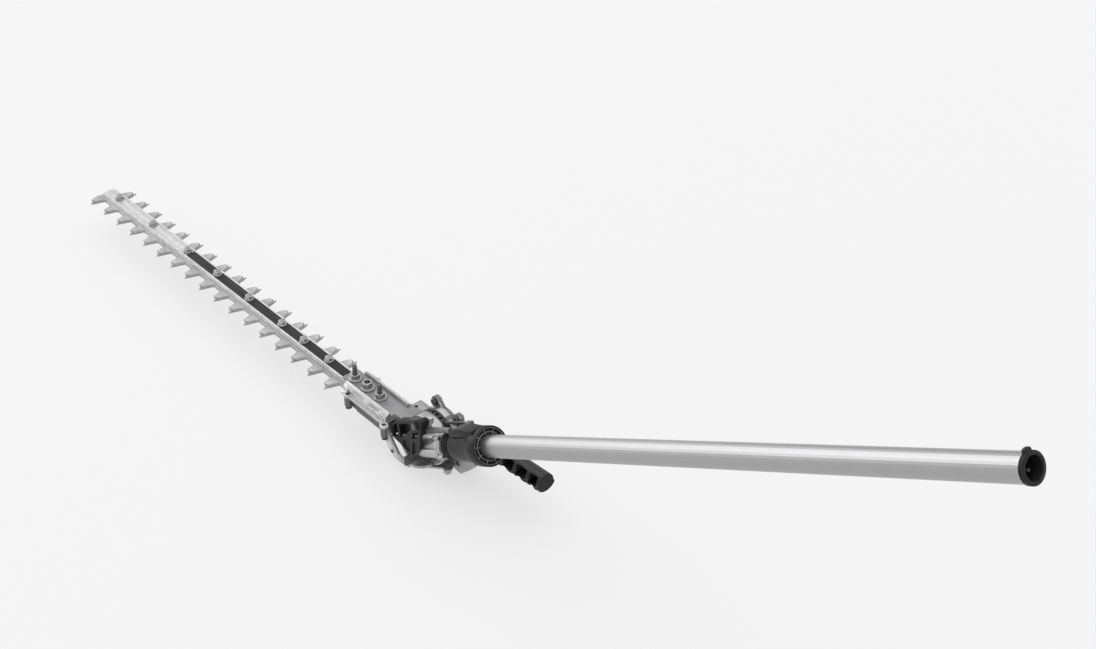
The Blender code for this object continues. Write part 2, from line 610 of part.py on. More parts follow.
def make_handle():
    low = EAR_Y[1] + GAP
    high = low + 3.0
    ring = plate(
        "handle_bracket", HEAD, "Y", (low, high),
        [
            ring_with_ears([*arc(30, 145, 288, steps=10), (20, -37), (33, -38), (42, -24), (50, -14), (58, -6), (58, 0), (36, 6)]),
            circle(PIN_R + 6, sides=18),
        ],
        CAST,
    )
    grip = rod("handle_grip", GRIP, "X", (-92.0, 0.0), GRIP_R, material=BLACK_PLASTIC, sides=28)
    arm = plate(
        "grip_arm", HEAD, "Y", (high + GAP, 50.0),
        [[(22, -32), (34, -33), (44, -21), (66, -7), (80, 3), (82, 14), (66, 19), (54, 8), (38, -6), (22, -14)]],
    )
    join(grip, arm)
    for i, (start, end) in enumerate(GRIP_POCKETS):
        cut(grip, block(f"grip_pocket_{i}", GRIP, (start, -14.0, -2.2), (end, 2.5, 8.4)))
    screws = ((*EAR_SCREWS[0], 31.2), (*EAR_SCREWS[1], 31.2), (*LUG_SCREW, 50.3))
    for number, (x, z, head) in enumerate(screws, 1):
        cut(ring, rod(f"bracket_hole_{number}", HEAD, "Y", (30, 60), 2.3, (x, z), sides=16))
        shank = (30.0, head + 1) if number == 3 else (head + 1, 43.5)
        bolt(f"bracket_screw_{number}", HEAD, "Y", (head, head + 3.1), shank, 4.6, 2.0, (x, z), BLACK_STEEL)
    cut(grip, rod("grip_screw_hole", HEAD, "Y", (30, 60), 2.3, LUG_SCREW, sides=16))


# ---------------------------------------------------------------- neck, sleeve and tube

def make_neck():
    neck = rod("joint_neck", POLE, "X", (-13.0, TUBE_START - 0.5), 12.0, material=CAST, sides=28)
    spigot = rod("neck_spigot", POLE, "X", (60.0, 100.0), TUBE_R - TUBE_WALL - 0.25, sides=24)
    shell = rod("neck_lower_shell", POLE, "X", (11.0, 55.0), 15.6, sides=28)
    upper_half = block("neck_upper_half", POLE, (-40, -30, 0), (60, 30, 40))
    cut(shell, upper_half)
    trunnion = rod("neck_trunnion", POLE, "Y", (-12.4, 0), 9.0, sides=ROUND)
    hub = rod("neck_hub", POLE, "Y", (0, DRUM_Y[0] - 0.3), 11.5, sides=ROUND)
    join(neck, spigot, shell, trunnion, hub)
    side_limit = block("neck_side_limit", POLE, (-40, DRUM_Y[0] - GAP, -40), (18, 40, 40))
    bore = rod("neck_bore", POLE, "X", (16.0, 120.0), SHAFT_R + 1.2, sides=24)
    seat = rod("neck_bearing_seat", POLE, "X", (16.0, 38.3), 7.9, sides=20)
    window = block("neck_pinion_window", POLE, (15.0, 2.0, -9.5), (31.0, 40, 9.5))
    outer_limit = block("neck_outer_limit", POLE, (17.0, DRUM_Y[0] - GAP, -40), (33.0, 40, 40))
    pin_hole = rod("neck_pin_hole", POLE, "Y", (-40, 40), PIN_R + 0.1, sides=ROUND)
    cut(neck, side_limit, outer_limit, bore, seat, window, pin_hole)
    for number, (low, high) in enumerate(((56.0, 59.5), (60.8, 64.4)), 1):
        ring = rod(f"clamp_ring_{number}", POLE, "X", (low, high), 16.6, material=CAST, sides=8)
        cut(ring, rod(f"clamp_ring_bore_{number}", POLE, "X", (0, 80), 12.3, sides=24))


def make_side_bracket():
    """Ribbed plastic cap on the neck's left side, held by one screw, which guides the release rod."""
    outline = [
        (-24.5, 17.5), (-16, 32.5), (-1.5, 37), (39, 37.5), (48.5, 38.5), (52.5, 34.5),
        (30.5, 6), (16, -5.5), (-0.5, -9.7), (-12.5, 8.5),
    ]
    left = -18.4
    screw = (37.5, 30.4)
    bracket = plate("side_bracket", POLE, "Y", (left, -15.0), [outline], BLACK_PLASTIC)
    rim = plate(
        "side_bracket_rim", POLE, "Y", (-15.5, -7.8),
        [[(-15, 31.5), (-1.5, 36.2), (39, 36.7), (47, 37), (50.5, 33.5), (40, 17.5), (-13, 17.5), (-21, 20)]],
    )
    rod_y, rod_n = RELEASE_ROD
    bore = rod("side_bracket_bore", POLE, "X", (22, 70), 3.7, RELEASE_ROD, sides=16)
    screw_hole = rod("side_bracket_screw_hole", POLE, "Y", (-30, 0), 2.3, screw, sides=16)
    clearance = rod("side_bracket_clearance", POLE, "X", (-60, 60), 16.0, sides=28)
    cut(join(bracket, rim), bore, screw_hole, clearance)
    bolt("bracket_bolt", POLE, "Y", (left - 3.4, left - GAP), (left - 2, -9.0), 4.4, 2.0, screw, BLACK_STEEL)
    rod("release_rod", POLE, "X", (30.0, CREST_START - GAP), 3.3, (rod_y, rod_n), BLACK_STEEL, sides=16)


def make_sleeve():
    start, end = SLEEVE
    inner = TUBE_R + 0.5
    profile = [
        (inner, start), (16.0, start), (17.2, start + 1.5), (17.2, start + 4), (16.6, start + 4.6),
        (16.6, start + 6), (17.6, start + 6.6), (18.4, start + 20), (20.0, end - 26), (22.4, end - 14),
        (22.4, end), (20.2, end), (20.2, end - 8), (17.2, end - 8), (17.2, start + 15), (inner, start + 15),
    ]
    sleeve = turned("sliding_sleeve", POLE, "X", profile, BLACK_PLASTIC, 28)
    first = CREST_START
    crest = plate(
        "sleeve_crest", POLE, "Y", (-13.5, 4.0),
        [[(first, 14), (first, 21.5), (first + 20, 25.5), (end - 9, 23.0), (end - 9, 14)]],
    )
    shoulder = rod("sleeve_shoulder", POLE, "X", (start - 5, end + 5), 17.8, sides=28)
    cut(crest, shoulder)
    join(sleeve, crest)
    turned(
        "sleeve_end_ring", POLE, "X",
        ring_profile(TUBE_R + 0.6, 19.8, (end - 7.6, end - 1.0)), BLACK_PLASTIC, 28,
    )
    turned("spring_stop", POLE, "X", ring_profile(TUBE_R + 0.15, 16.6, (112.0, 116.0)), STEEL, 28)
    pin = rod("locking_pin", POLE, "X", (28.4, start + 8), 1.9, (LOCK_Y, LOCK_N), BLACK_STEEL, sides=16)
    foot = block("locking_pin_foot", POLE, (start + 6, 18.0, 2.0), (start + 16, LOCK_Y + 2, LOCK_N + 2.5))
    relief = rod("locking_pin_relief", POLE, "X", (0, 120), 18.7, sides=28)
    cut(join(pin, foot), relief)


def make_spring():
    low, high = SPRING
    wire, turns, steps = 1.1, 5, 12
    radius = 15.2
    curve = bpy.data.curves.new("return_spring", "CURVE")
    curve.dimensions = "3D"
    curve.bevel_depth = wire
    curve.bevel_resolution = 1
    curve.use_fill_caps = True
    spline = curve.splines.new("POLY")
    count = turns * steps
    spline.points.add(count)
    for i, point in enumerate(spline.points):
        angle = 2 * math.pi * i / steps
        along = low + wire + (high - low - 2 * wire) * i / count
        point.co = (along, radius * math.cos(angle), radius * math.sin(angle), 1)
    holder = bpy.data.objects.new("spring_path", curve)
    scene.collection.objects.link(holder)
    graph = bpy.context.evaluated_depsgraph_get()
    mesh = bpy.data.meshes.new_from_object(holder.evaluated_get(graph))
    bpy.data.objects.remove(holder, do_unlink=True)
    bm = bmesh.new()
    bm.from_mesh(mesh)
    bmesh.ops.remove_doubles(bm, verts=bm.verts, dist=0.001)
    add_mesh("return_spring", mesh_from(bm), POLE, STEEL)


def make_tube():
    face = POLE_LENGTH
    end = face - 4.3
    turned("drive_tube", POLE, "X", ring_profile(TUBE_R - TUBE_WALL, TUBE_R, (TUBE_START, end)), TUBE_METAL, 32)
    profile = [
        (TUBE_R - TUBE_WALL - 0.3, end - 26), (TUBE_R - TUBE_WALL - 0.3, end + GAP), (13.5, end + GAP),
        (13.5, end + 1.8), (12.9, end + 2.1), (12.9, end + 2.8), (13.5, end + 3.1), (13.5, face),
        (9.9, face), (9.4, face - 6), (9.4, end - 26),
    ]
    coupling = turned("tube_coupling", POLE, "X", profile, BLACK_PLASTIC, 28)
    tab = plate(
        "coupling_tab", POLE, "X", (end + 0.5, face - 0.6),
        [[(-4.5, 12.0), (4.5, 12.0), (3.4, 15.9), (1.5, 16.6), (-1.5, 16.6), (-3.4, 15.9)]],
    )
    join(coupling, tab)
    socket = turned("shaft_coupler", POLE, "X", ring_profile(SHAFT_R + 0.15, 6.6, (face - 32.0, face - 17.5)), STEEL, 24)
    for i in range(4):
        angle = math.radians(45 + 90 * i)
        centre = (5.3 * math.cos(angle), 5.3 * math.sin(angle))
        join(socket, rod(f"coupler_dog_{i}", POLE, "X", (face - 19.0, face - 9.0), 1.3, centre, sides=12))
    turned("shaft_bearing_rear", POLE, "X", ring_profile(SHAFT_R + 0.2, 9.1, (face - 40.5, face - 32.5)), STEEL, 24)


make_cutter_bar()
make_case()
make_cover()
make_case_fasteners()
make_gear_train()
make_swivel()
make_handle()
make_neck()
make_side_bracket()
make_sleeve()
make_spring()
make_tube()
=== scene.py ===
"""Long-reach hedge trimmer head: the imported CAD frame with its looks."""

import json
import math

import bmesh
import bpy
from mathutils import Matrix, Vector

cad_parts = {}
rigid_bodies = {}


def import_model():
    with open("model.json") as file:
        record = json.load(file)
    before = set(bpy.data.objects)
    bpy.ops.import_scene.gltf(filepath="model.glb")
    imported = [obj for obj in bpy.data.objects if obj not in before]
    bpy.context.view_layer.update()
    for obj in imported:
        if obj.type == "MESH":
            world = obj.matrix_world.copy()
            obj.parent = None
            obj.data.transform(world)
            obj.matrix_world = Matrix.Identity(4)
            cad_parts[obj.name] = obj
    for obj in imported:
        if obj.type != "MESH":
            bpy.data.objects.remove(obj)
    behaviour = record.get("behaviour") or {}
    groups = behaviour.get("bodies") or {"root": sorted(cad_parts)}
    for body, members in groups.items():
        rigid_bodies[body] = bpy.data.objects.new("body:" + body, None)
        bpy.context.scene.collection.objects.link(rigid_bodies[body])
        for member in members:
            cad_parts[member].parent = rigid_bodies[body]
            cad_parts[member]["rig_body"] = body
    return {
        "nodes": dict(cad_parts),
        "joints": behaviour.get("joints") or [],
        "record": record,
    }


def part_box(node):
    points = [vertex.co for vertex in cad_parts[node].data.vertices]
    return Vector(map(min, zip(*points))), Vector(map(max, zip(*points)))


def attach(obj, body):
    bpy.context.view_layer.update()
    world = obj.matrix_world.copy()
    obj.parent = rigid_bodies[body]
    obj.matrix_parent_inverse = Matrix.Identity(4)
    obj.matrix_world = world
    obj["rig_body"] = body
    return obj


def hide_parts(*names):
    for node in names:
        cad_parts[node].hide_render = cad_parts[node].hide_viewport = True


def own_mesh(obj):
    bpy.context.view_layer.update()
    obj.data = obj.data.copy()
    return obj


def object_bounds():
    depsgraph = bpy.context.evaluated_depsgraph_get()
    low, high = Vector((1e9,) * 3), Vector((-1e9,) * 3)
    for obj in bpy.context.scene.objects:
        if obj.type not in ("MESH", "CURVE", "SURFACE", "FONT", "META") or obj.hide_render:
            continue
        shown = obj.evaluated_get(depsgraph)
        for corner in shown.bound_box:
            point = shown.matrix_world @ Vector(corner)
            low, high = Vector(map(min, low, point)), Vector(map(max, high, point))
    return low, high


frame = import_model()
cad_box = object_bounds()
NODES = frame["nodes"]
SLOTS = {part["node"]: part["material_slot"] for part in frame["record"]["subparts"]}
MM = 0.001


# ------------------------------------------------------------------ frames and mesh helpers


def node_centre(node):
    low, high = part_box(node)
    return (low + high) / 2


def joint_axis(name):
    return Vector(next(j["axis"] for j in frame["joints"] if j["name"] == name))


# Frames in millimetres: HEAD and POLE start at the swivel pin, GRIP at the grip's outer end
SWIVEL = node_centre("swivel_pin")
SWIVEL.y = 0
POLE_DIRECTION = joint_axis("sleeve_slide").normalized()
TILT = math.atan2(POLE_DIRECTION.z, POLE_DIRECTION.x)
HEAD = Matrix.Translation(SWIVEL) @ Matrix.Scale(MM, 4)
POLE = Matrix.Translation(SWIVEL) @ Matrix.Rotation(-TILT, 4, "Y") @ Matrix.Scale(MM, 4)
GRIP_END = Vector((158.0, 50.5, 15.3))
GRIP = HEAD @ Matrix.Translation(GRIP_END) @ Matrix.Rotation(-math.radians(4.0), 4, "Y")


def smooth(mesh, angle=38):
    mesh.polygons.foreach_set("use_smooth", [True] * len(mesh.polygons))
    mesh.set_sharp_from_angle(angle=math.radians(angle))


def add_object(name, bm, matrix=None):
    mesh = bpy.data.meshes.new(name)
    if matrix is not None:
        bm.transform(matrix)
    bmesh.ops.recalc_face_normals(bm, faces=bm.faces)
    bm.to_mesh(mesh)
    bm.free()
    obj = bpy.data.objects.new(name, mesh)
    bpy.context.scene.collection.objects.link(obj)
    return obj


def bake(obj):
    """Turns the object's modifiers into its mesh."""
    graph = bpy.context.evaluated_depsgraph_get()
    mesh = bpy.data.meshes.new_from_object(obj.evaluated_get(graph))
    obj.modifiers.clear()
    obj.data = mesh
    return obj


def soften(obj, width, segments=2, angle=32, sharp=38):
    """Rounds the edges by width millimetres and shades the result smoothly."""
    bevel = obj.modifiers.new("bevel", "BEVEL")
    bevel.width = width * MM
    bevel.segments = segments
    bevel.limit_method = "ANGLE"
    bevel.angle_limit = math.radians(angle)
    bevel.use_clamp_overlap = True
    bake(obj)
    smooth(obj.data, sharp)
    return obj


def cut_with(obj, *cutters):
    for cutter in cutters:
        boolean = obj.modifiers.new("cut", "BOOLEAN")
        boolean.operation = "DIFFERENCE"
        boolean.solver = "EXACT"
        boolean.object = cutter
    bake(obj)
    for cutter in cutters:
        bpy.data.objects.remove(cutter)
    return obj


def box_mesh(low, high):
    """Block between two corners, in the head's frame."""
    bm = bmesh.new()
    bmesh.ops.create_cube(bm, size=1)
    low, high = Vector(low), Vector(high)
    stretch = Matrix.Translation((low + high) / 2) @ Matrix.Diagonal((*(high - low), 1))
    bmesh.ops.transform(bm, verts=bm.verts, matrix=stretch)
    return add_object("box", bm, HEAD)


def prism(outline, axis, span, matrix=HEAD):
    """Extruded outline. The outline holds the two axes other than axis, in order."""
    bm = bmesh.new()
    place = {
        "X": lambda a, b, c: (c, a, b),
        "Y": lambda a, b, c: (a, c, b),
        "Z": lambda a, b, c: (a, b, c),
    }[axis]
    low = [bm.verts.new(place(a, b, span[0])) for a, b in outline]
    high = [bm.verts.new(place(a, b, span[1])) for a, b in outline]
    bm.faces.new(low)
    bm.faces.new(list(reversed(high)))
    for i in range(len(outline)):
        j = (i + 1) % len(outline)
        bm.faces.new((low[i], high[i], high[j], low[j]))
    return add_object("prism", bm, matrix)


def lathe(profile, axis, matrix=HEAD, centre=(0, 0), sides=64):
    """Turned piece from (radius, place along the axis) points, closed on itself or on the axis."""
    bm = bmesh.new()
    turn = {
        "X": lambda r, a, s: (s, centre[0] + r * math.cos(a), centre[1] + r * math.sin(a)),
        "Y": lambda r, a, s: (centre[0] + r * math.cos(a), s, centre[1] + r * math.sin(a)),
        "Z": lambda r, a, s: (centre[0] + r * math.cos(a), centre[1] + r * math.sin(a), s),
    }[axis]
    rings = [
        [bm.verts.new(turn(max(r, 0.001), 2 * math.pi * i / sides, s)) for i in range(sides)]
        for r, s in profile
    ]
    for k in range(len(rings)):
        here, after = rings[k], rings[(k + 1) % len(rings)]
        for i in range(sides):
            j = (i + 1) % sides
            bm.faces.new((here[i], here[j], after[j], after[i]))
    bmesh.ops.remove_doubles(bm, verts=bm.verts, dist=0.01)
    obj = add_object("lathe", bm, matrix)
    smooth(obj.data, 32)
    return obj


def rod(span, radius, centre, sides):
    """Round or many-sided bar along the pole."""
    low, high = span
    return lathe([(0, low), (radius, low), (radius, high), (0, high)], "X", POLE, centre, sides)


def tube_along(points, radius, matrix=HEAD, sides=10):
    """Round bead that follows points."""
    curve = bpy.data.curves.new("bead", "CURVE")
    curve.dimensions = "3D"
    spline = curve.splines.new("POLY")
    spline.points.add(len(points) - 1)
    for point, place in zip(spline.points, points):
        point.co = (*(matrix @ Vector(place)), 1)
    curve.bevel_depth = radius * MM
    curve.bevel_resolution = max(1, sides // 4)
    curve.use_fill_caps = True
    guide = bpy.data.objects.new("bead_guide", curve)
    bpy.context.scene.collection.objects.link(guide)
    graph = bpy.context.evaluated_depsgraph_get()
    mesh = bpy.data.meshes.new_from_object(guide.evaluated_get(graph))
    bpy.data.objects.remove(guide)
    obj = bpy.data.objects.new("bead", mesh)
    bpy.context.scene.collection.objects.link(obj)
    smooth(mesh, 60)
    return obj


# ------------------------------------------------------------------ materials


CLOUD_SCALE = 28.0  # broad tone variation
WEAR_AND_SHEEN_SCALE = 160.0  # breaks up the lighter edges: wear, and on the cast alloy also painted highlight
GRAIN_DEPTH = 0.00015


def build_material(name, colour, metallic, roughness, **look):
    """Procedural surface: tone variation, fine or brushed grain, and brighter edges, which are wear
    and, on the cast alloy, partly painted highlight.
    """
    material = bpy.data.materials.new(name)
    material.use_nodes = True
    nodes, links = material.node_tree.nodes, material.node_tree.links
    shader = nodes["Principled BSDF"]
    shader.inputs["Metallic"].default_value = metallic
    shader.inputs["Specular IOR Level"].default_value = look.get("specular", 0.5)
    place = nodes.new("ShaderNodeTexCoord")
    mapping = nodes.new("ShaderNodeMapping")
    mapping.inputs["Rotation"].default_value = (0, look.get("turn", 0.0), 0)
    mapping.inputs["Scale"].default_value = look.get("stretch", (1, 1, 1))
    links.new(place.outputs["Object"], mapping.inputs["Vector"])

    def noise(scale, detail, source):
        node = nodes.new("ShaderNodeTexNoise")
        node.inputs["Scale"].default_value = scale
        node.inputs["Detail"].default_value = detail
        links.new(source, node.inputs["Vector"])
        return node.outputs["Fac"]

    fine = noise(look["grain"], 3.0, mapping.outputs["Vector"])
    broad = noise(CLOUD_SCALE, 4.0, place.outputs["Object"])

    tone = nodes.new("ShaderNodeValToRGB")
    spread = look["spread"]
    tone.color_ramp.elements[0].position = 0.3
    tone.color_ramp.elements[1].position = 0.7
    tone.color_ramp.elements[0].color = (*[c * (1 - spread) for c in colour], 1)
    tone.color_ramp.elements[1].color = (*[min(1, c * (1 + spread)) for c in colour], 1)
    links.new(broad, tone.inputs["Fac"])
    surface = tone.outputs["Color"]

    # Convex edges are lightened: wear, which on the cast alloy also serves as painted highlight on the
    # ridges
    if look.get("wear"):
        geometry = nodes.new("ShaderNodeNewGeometry")
        edge = nodes.new("ShaderNodeValToRGB")
        edge.color_ramp.elements[0].position = 0.53
        edge.color_ramp.elements[1].position = 0.60
        links.new(geometry.outputs["Pointiness"], edge.inputs["Fac"])
        broken = nodes.new("ShaderNodeMath")
        broken.operation = "MULTIPLY"
        links.new(edge.outputs["Color"], broken.inputs[0])
        links.new(noise(WEAR_AND_SHEEN_SCALE, 3.0, place.outputs["Object"]), broken.inputs[1])
        mix = nodes.new("ShaderNodeMix")
        mix.data_type = "RGBA"
        links.new(broken.outputs["Value"], mix.inputs["Factor"])
        links.new(surface, mix.inputs[6])
        mix.inputs[7].default_value = (*look["wear"], 1)
        surface = mix.outputs[2]
    links.new(surface, shader.inputs["Base Color"])

    rough = nodes.new("ShaderNodeMapRange")
    rough_spread = look.get("rough_spread", 0.05)
    rough.inputs["To Min"].default_value = roughness - rough_spread
    rough.inputs["To Max"].default_value = roughness + rough_spread
    links.new(fine, rough.inputs["Value"])
    links.new(rough.outputs["Result"], shader.inputs["Roughness"])

    bump = nodes.new("ShaderNodeBump")
    bump.inputs["Strength"].default_value = look["bump"]
    bump.inputs["Distance"].default_value = GRAIN_DEPTH
    links.new(fine, bump.inputs["Height"])
    links.new(bump.outputs["Normal"], shader.inputs["Normal"])
    return material


MATERIALS = {
    # Its edges are lightened to near white: partly wear, partly painted highlight on the ridges
    "cast_alloy": build_material(
        "cast_alloy", (0.36, 0.36, 0.365), 0.72, 0.36, grain=1400.0, bump=0.25, spread=0.05,
        wear=(0.9, 0.9, 0.9),
    ),
    # Darker copy of the cast alloy for the pan floor's upward faces: painted shade
    "pan_floor_painted_shade": build_material(
        "pan_floor_painted_shade", (0.25, 0.25, 0.255), 0.6, 0.46, grain=1400.0, bump=0.25, spread=0.05
    ),
    "grey_cast": build_material(
        "grey_cast", (0.13, 0.13, 0.135), 0.5, 0.42, grain=1400.0, bump=0.25, spread=0.06,
        wear=(0.5, 0.5, 0.5),
    ),
    "dark_cast": build_material(
        "dark_cast", (0.10, 0.10, 0.105), 0.35, 0.48, grain=1100.0, bump=0.25, spread=0.10,
        wear=(0.3, 0.3, 0.3),
    ),
    "tube_alloy": build_material(
        "tube_alloy", (0.38, 0.38, 0.385), 0.90, 0.38, grain=420.0, stretch=(0.02, 1, 1), turn=TILT,
        bump=0.06, spread=0.015, rough_spread=0.04,
    ),
    "rail_steel": build_material(
        "rail_steel", (0.46, 0.46, 0.46), 0.75, 0.34, grain=700.0, stretch=(0.04, 1, 1), bump=0.10,
        spread=0.05, wear=(0.85, 0.85, 0.85),
    ),
    "blade_steel": build_material(
        "blade_steel", (0.42, 0.42, 0.425), 0.85, 0.30, grain=900.0, stretch=(1, 0.06, 1), bump=0.12,
        spread=0.08, wear=(0.85, 0.85, 0.86),
    ),
    "bright_steel": build_material(
        "bright_steel", (0.36, 0.36, 0.36), 0.9, 0.26, grain=600.0, bump=0.08, spread=0.06
    ),
    "machined_steel": build_material(
        "machined_steel", (0.45, 0.45, 0.46), 0.9, 0.28, grain=800.0, stretch=(0.2, 1, 1), bump=0.10,
        spread=0.06,
    ),
    "black_steel": build_material(
        "black_steel", (0.020, 0.020, 0.021), 0.1, 0.36, grain=900.0, bump=0.15, spread=0.15,
        wear=(0.16, 0.16, 0.16),
    ),
    "strip_black": build_material(
        "strip_black", (0.017, 0.017, 0.017), 0.0, 0.46, grain=1800.0, bump=0.10, spread=0.10,
        specular=0.25,
    ),
    "black_plastic": build_material(
        "black_plastic", (0.012, 0.012, 0.0125), 0.0, 0.42, grain=2200.0, bump=0.30, spread=0.10,
        wear=(0.035, 0.035, 0.036), specular=0.2,
    ),
    "rib_grey": build_material(
        "rib_grey", (0.17, 0.17, 0.172), 0.0, 0.42, grain=2200.0, bump=0.20, spread=0.08
    ),
    "seal_rubber": build_material(
        "seal_rubber", (0.020, 0.020, 0.020), 0.0, 0.62, grain=1500.0, bump=0.20, spread=0.10
    ),
}
# Darker, duller steel for the ground flanks: painted shade on the slope
FLANK_PAINTED_SHADE = build_material(
    "flank_painted_shade", (0.19, 0.19, 0.195), 0.15, 0.42, grain=1500.0, stretch=(1, 0.1, 1), bump=0.10,
    spread=0.10,
)


def paint(obj, slot):
    if len(obj.data.materials):
        obj.data.materials.clear()
    obj.data.materials.append(MATERIALS[slot])
    return obj


def add_piece(obj, name, body, slot, *replaced):
    """Names, paints and rides a finished piece."""
    obj.name = name
    paint(obj, slot)
    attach(obj, body)
    if replaced:
        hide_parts(*replaced)
    return obj


def clean_mesh(node):
    """Copy of a CAD node's mesh, with flat faces joined."""
    bm = bmesh.new()
    bm.from_mesh(NODES[node].data)
    bmesh.ops.remove_doubles(bm, verts=bm.verts, dist=3e-6)
    bmesh.ops.dissolve_limit(bm, angle_limit=math.radians(0.6), verts=bm.verts, edges=bm.edges)
    return bm


def copy_of(node):
    return add_object(node + "_copy", clean_mesh(node))


def detailed(node, width, *cutters, **options):
    """Stands for a CAD node: its own shape with cuts and rounded edges."""
    obj = copy_of(node)
    if cutters:
        cut_with(obj, *cutters)
    soften(obj, width, **options)
    return add_piece(obj, node + "_finish", NODES[node]["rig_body"], SLOTS[node], node)


# ------------------------------------------------------------------ cutter bar

TOOTH_ROOT_Y = 12.4
FLANK_WIDTH = 1.2
FLANK_DROP = 0.8


def ground_blade(node, body):
    """Blade whose tooth flanks are ground to a slope on the upper face and painted darker there, as
    shade on the slope.
    """
    bm = clean_mesh(node)
    top = max(v.co.z for v in bm.verts)
    faces = [f for f in bm.faces if f.normal.z > 0.9 and abs(f.calc_center_median().z - top) < 1e-5]
    made = bmesh.ops.inset_region(
        bm, faces=faces, thickness=FLANK_WIDTH * MM, use_boundary=True, use_even_offset=True
    )["faces"]
    flanks = set()
    for face in made:
        for vert in face.verts:
            if abs(vert.co.y) > TOOTH_ROOT_Y * MM and any(f.normal.z < 0.5 for f in vert.link_faces):
                flanks.add(vert)
    for vert in flanks:
        vert.co.z -= FLANK_DROP * MM
    # The flanks take the darker material: painted shade
    for face in made:
        if abs(face.calc_center_median().y) > TOOTH_ROOT_Y * MM:
            face.material_index = 1
    obj = add_object(node + "_finish", bm)
    add_piece(obj, obj.name, body, "blade_steel", node)
    obj.data.materials.append(FLANK_PAINTED_SHADE)
    return obj


ground_blade("upper_blade", "upper_blade")
ground_blade("lower_blade", "lower_blade")

detailed("face_strip", 0.15)

for number in range(1, 9):
    detailed(f"bar_bolt_{number}", 0.2)
for number in (1, 2):
    detailed(f"case_nut_{number}", 0.3)
detailed("vent_plug", 0.4)

# ------------------------------------------------------------------ gear case

CASE_FRONT_X = -121
COVER_FRONT_X = -119
MIDDLE_Y = 11.9  # the middle, up to here on each side, keeps its length
PAN_Z = (10, 22.5)  # heights between which the pan's floor lies
EAR_Y = 31.5  # the screw ears lie beyond it
CLEAR = 40  # reaches past the casting


def trim_front(front, low):
    """Two cutters that take the front end off, one on each side of the middle."""
    return [
        box_mesh((-150, y0, low), (front, y1, CLEAR))
        for y0, y1 in ((-CLEAR, -MIDDLE_Y), (MIDDLE_Y, CLEAR))
    ]


# Pairs of slots along the shoulder, joined at their rear end
slots = []
for x0, x1 in ((-103.0, -83.0), (-72.0, -54.0)):
    slots.append(box_mesh((x0, -16.9, 23.6), (x1, -16.4, CLEAR)))
    slots.append(box_mesh((x0, -18.5, 22.3), (x1, -18.0, CLEAR)))
    slots.append(box_mesh((x1 - 0.5, -18.4, 22.8), (x1, -16.5, CLEAR)))
case = detailed("gear_case", 0.8, *slots, *trim_front(CASE_FRONT_X, -10), segments=3)
case.data.materials.append(MATERIALS["pan_floor_painted_shade"])
case.data.materials.append(MATERIALS["grey_cast"])
# The pan floor's upward faces get the darker copy, as painted shade; the ears get the grey paint
for face in case.data.polygons:
    spot = HEAD.inverted() @ face.center
    if face.normal.z > 0.97 and abs(spot.y) < 12 and PAN_Z[0] < spot.z < PAN_Z[1]:
        face.material_index = 1
    elif spot.y > EAR_Y:
        face.material_index = 2

# The gap in the cover's rear wall is widened, to clear the blades' rear ends over their stroke
yoke_room = box_mesh((-47.5, -16.6, 7.3), (-43.5, 16.6, 13.9))
detailed("case_cover", 0.3, yoke_room, *trim_front(COVER_FRONT_X, -CLEAR))

# Raised line where the shoulder runs down to the flange, and a ring round each screw boss
for side in (-1, 1):
    sweep = [
        (x, side * y, z)
        for x, y, z in ((-58, 19.4, 22.2), (-52, 19.9, 20.8), (-47, 20.7, 18.8), (-43, 21.6, 17.4))
    ]
    add_piece(tube_along(sweep, 0.7), f"shoulder_line_{side + 2}", "head", "cast_alloy")
    for number, (x, y) in enumerate(((-110.6, 20.8), (-37.5, 23.3)), 1):
        profile = [(3.2, 16.3), (4.3, 16.3), (4.6, 17.3), (4.1, 17.6), (3.2, 17.5)]
        ring = lathe(profile, "Z", HEAD, (x, side * y))
        add_piece(ring, f"flange_boss_ring_{side + 2}_{number}", "head", "cast_alloy")

# Small bumps and a screw under the bowl, a pad on the lug, and a screw in the wall
for number, (x, y) in enumerate(((-16.0, -12.0), (1.5, 0.5)), 1):
    profile = [(0, -36.4), (1.7, -36.2), (2.2, -34.6), (2.2, -32.5), (0, -32.5)]
    bump = lathe(profile, "Z", HEAD, (x, y), 24)
    add_piece(bump, f"sump_bump_{number}", "head", "cast_alloy")
profile = [(0, -37.9), (1.6, -37.9), (1.8, -38.3), (3.9, -38.2), (4.3, -37.2), (4.3, -36.7), (0, -36.7)]
add_piece(lathe(profile, "Z", HEAD, (24, 18), 40), "sump_screw", "head", "black_steel")
pad = prism([(29.4, -28.2), (34.4, -28.2), (34.4, -24.2), (29.4, -24.2)], "Y", (27.1, 28.5))
soften(pad, 0.3)
add_piece(pad, "lug_pad", "head", "black_plastic")
profile = [(0, -24.6), (1.5, -24.6), (2.3, -24.2), (2.3, -22.6), (0, -22.6)]
add_piece(lathe(profile, "Y", HEAD, (-24.0, -13.5), 32), "wall_screw", "head", "black_steel")

# ------------------------------------------------------------------ joint

detailed("joint_drum", 0.6, segments=3)
for number, radius in enumerate((30.6, 27.4), 1):
    inner, outer = radius - 0.5, radius + 0.3
    ring = lathe([(inner, 8.0), (outer, 8.0), (outer, 8.5), (inner, 8.5)], "Y")
    add_piece(ring, f"drum_ring_{number}", "pole", "cast_alloy")
detailed("locking_quadrant", 0.3)
detailed("joint_neck", 0.5)
detailed("clamp_ring_1", 0.5)
detailed("clamp_ring_2", 0.5)

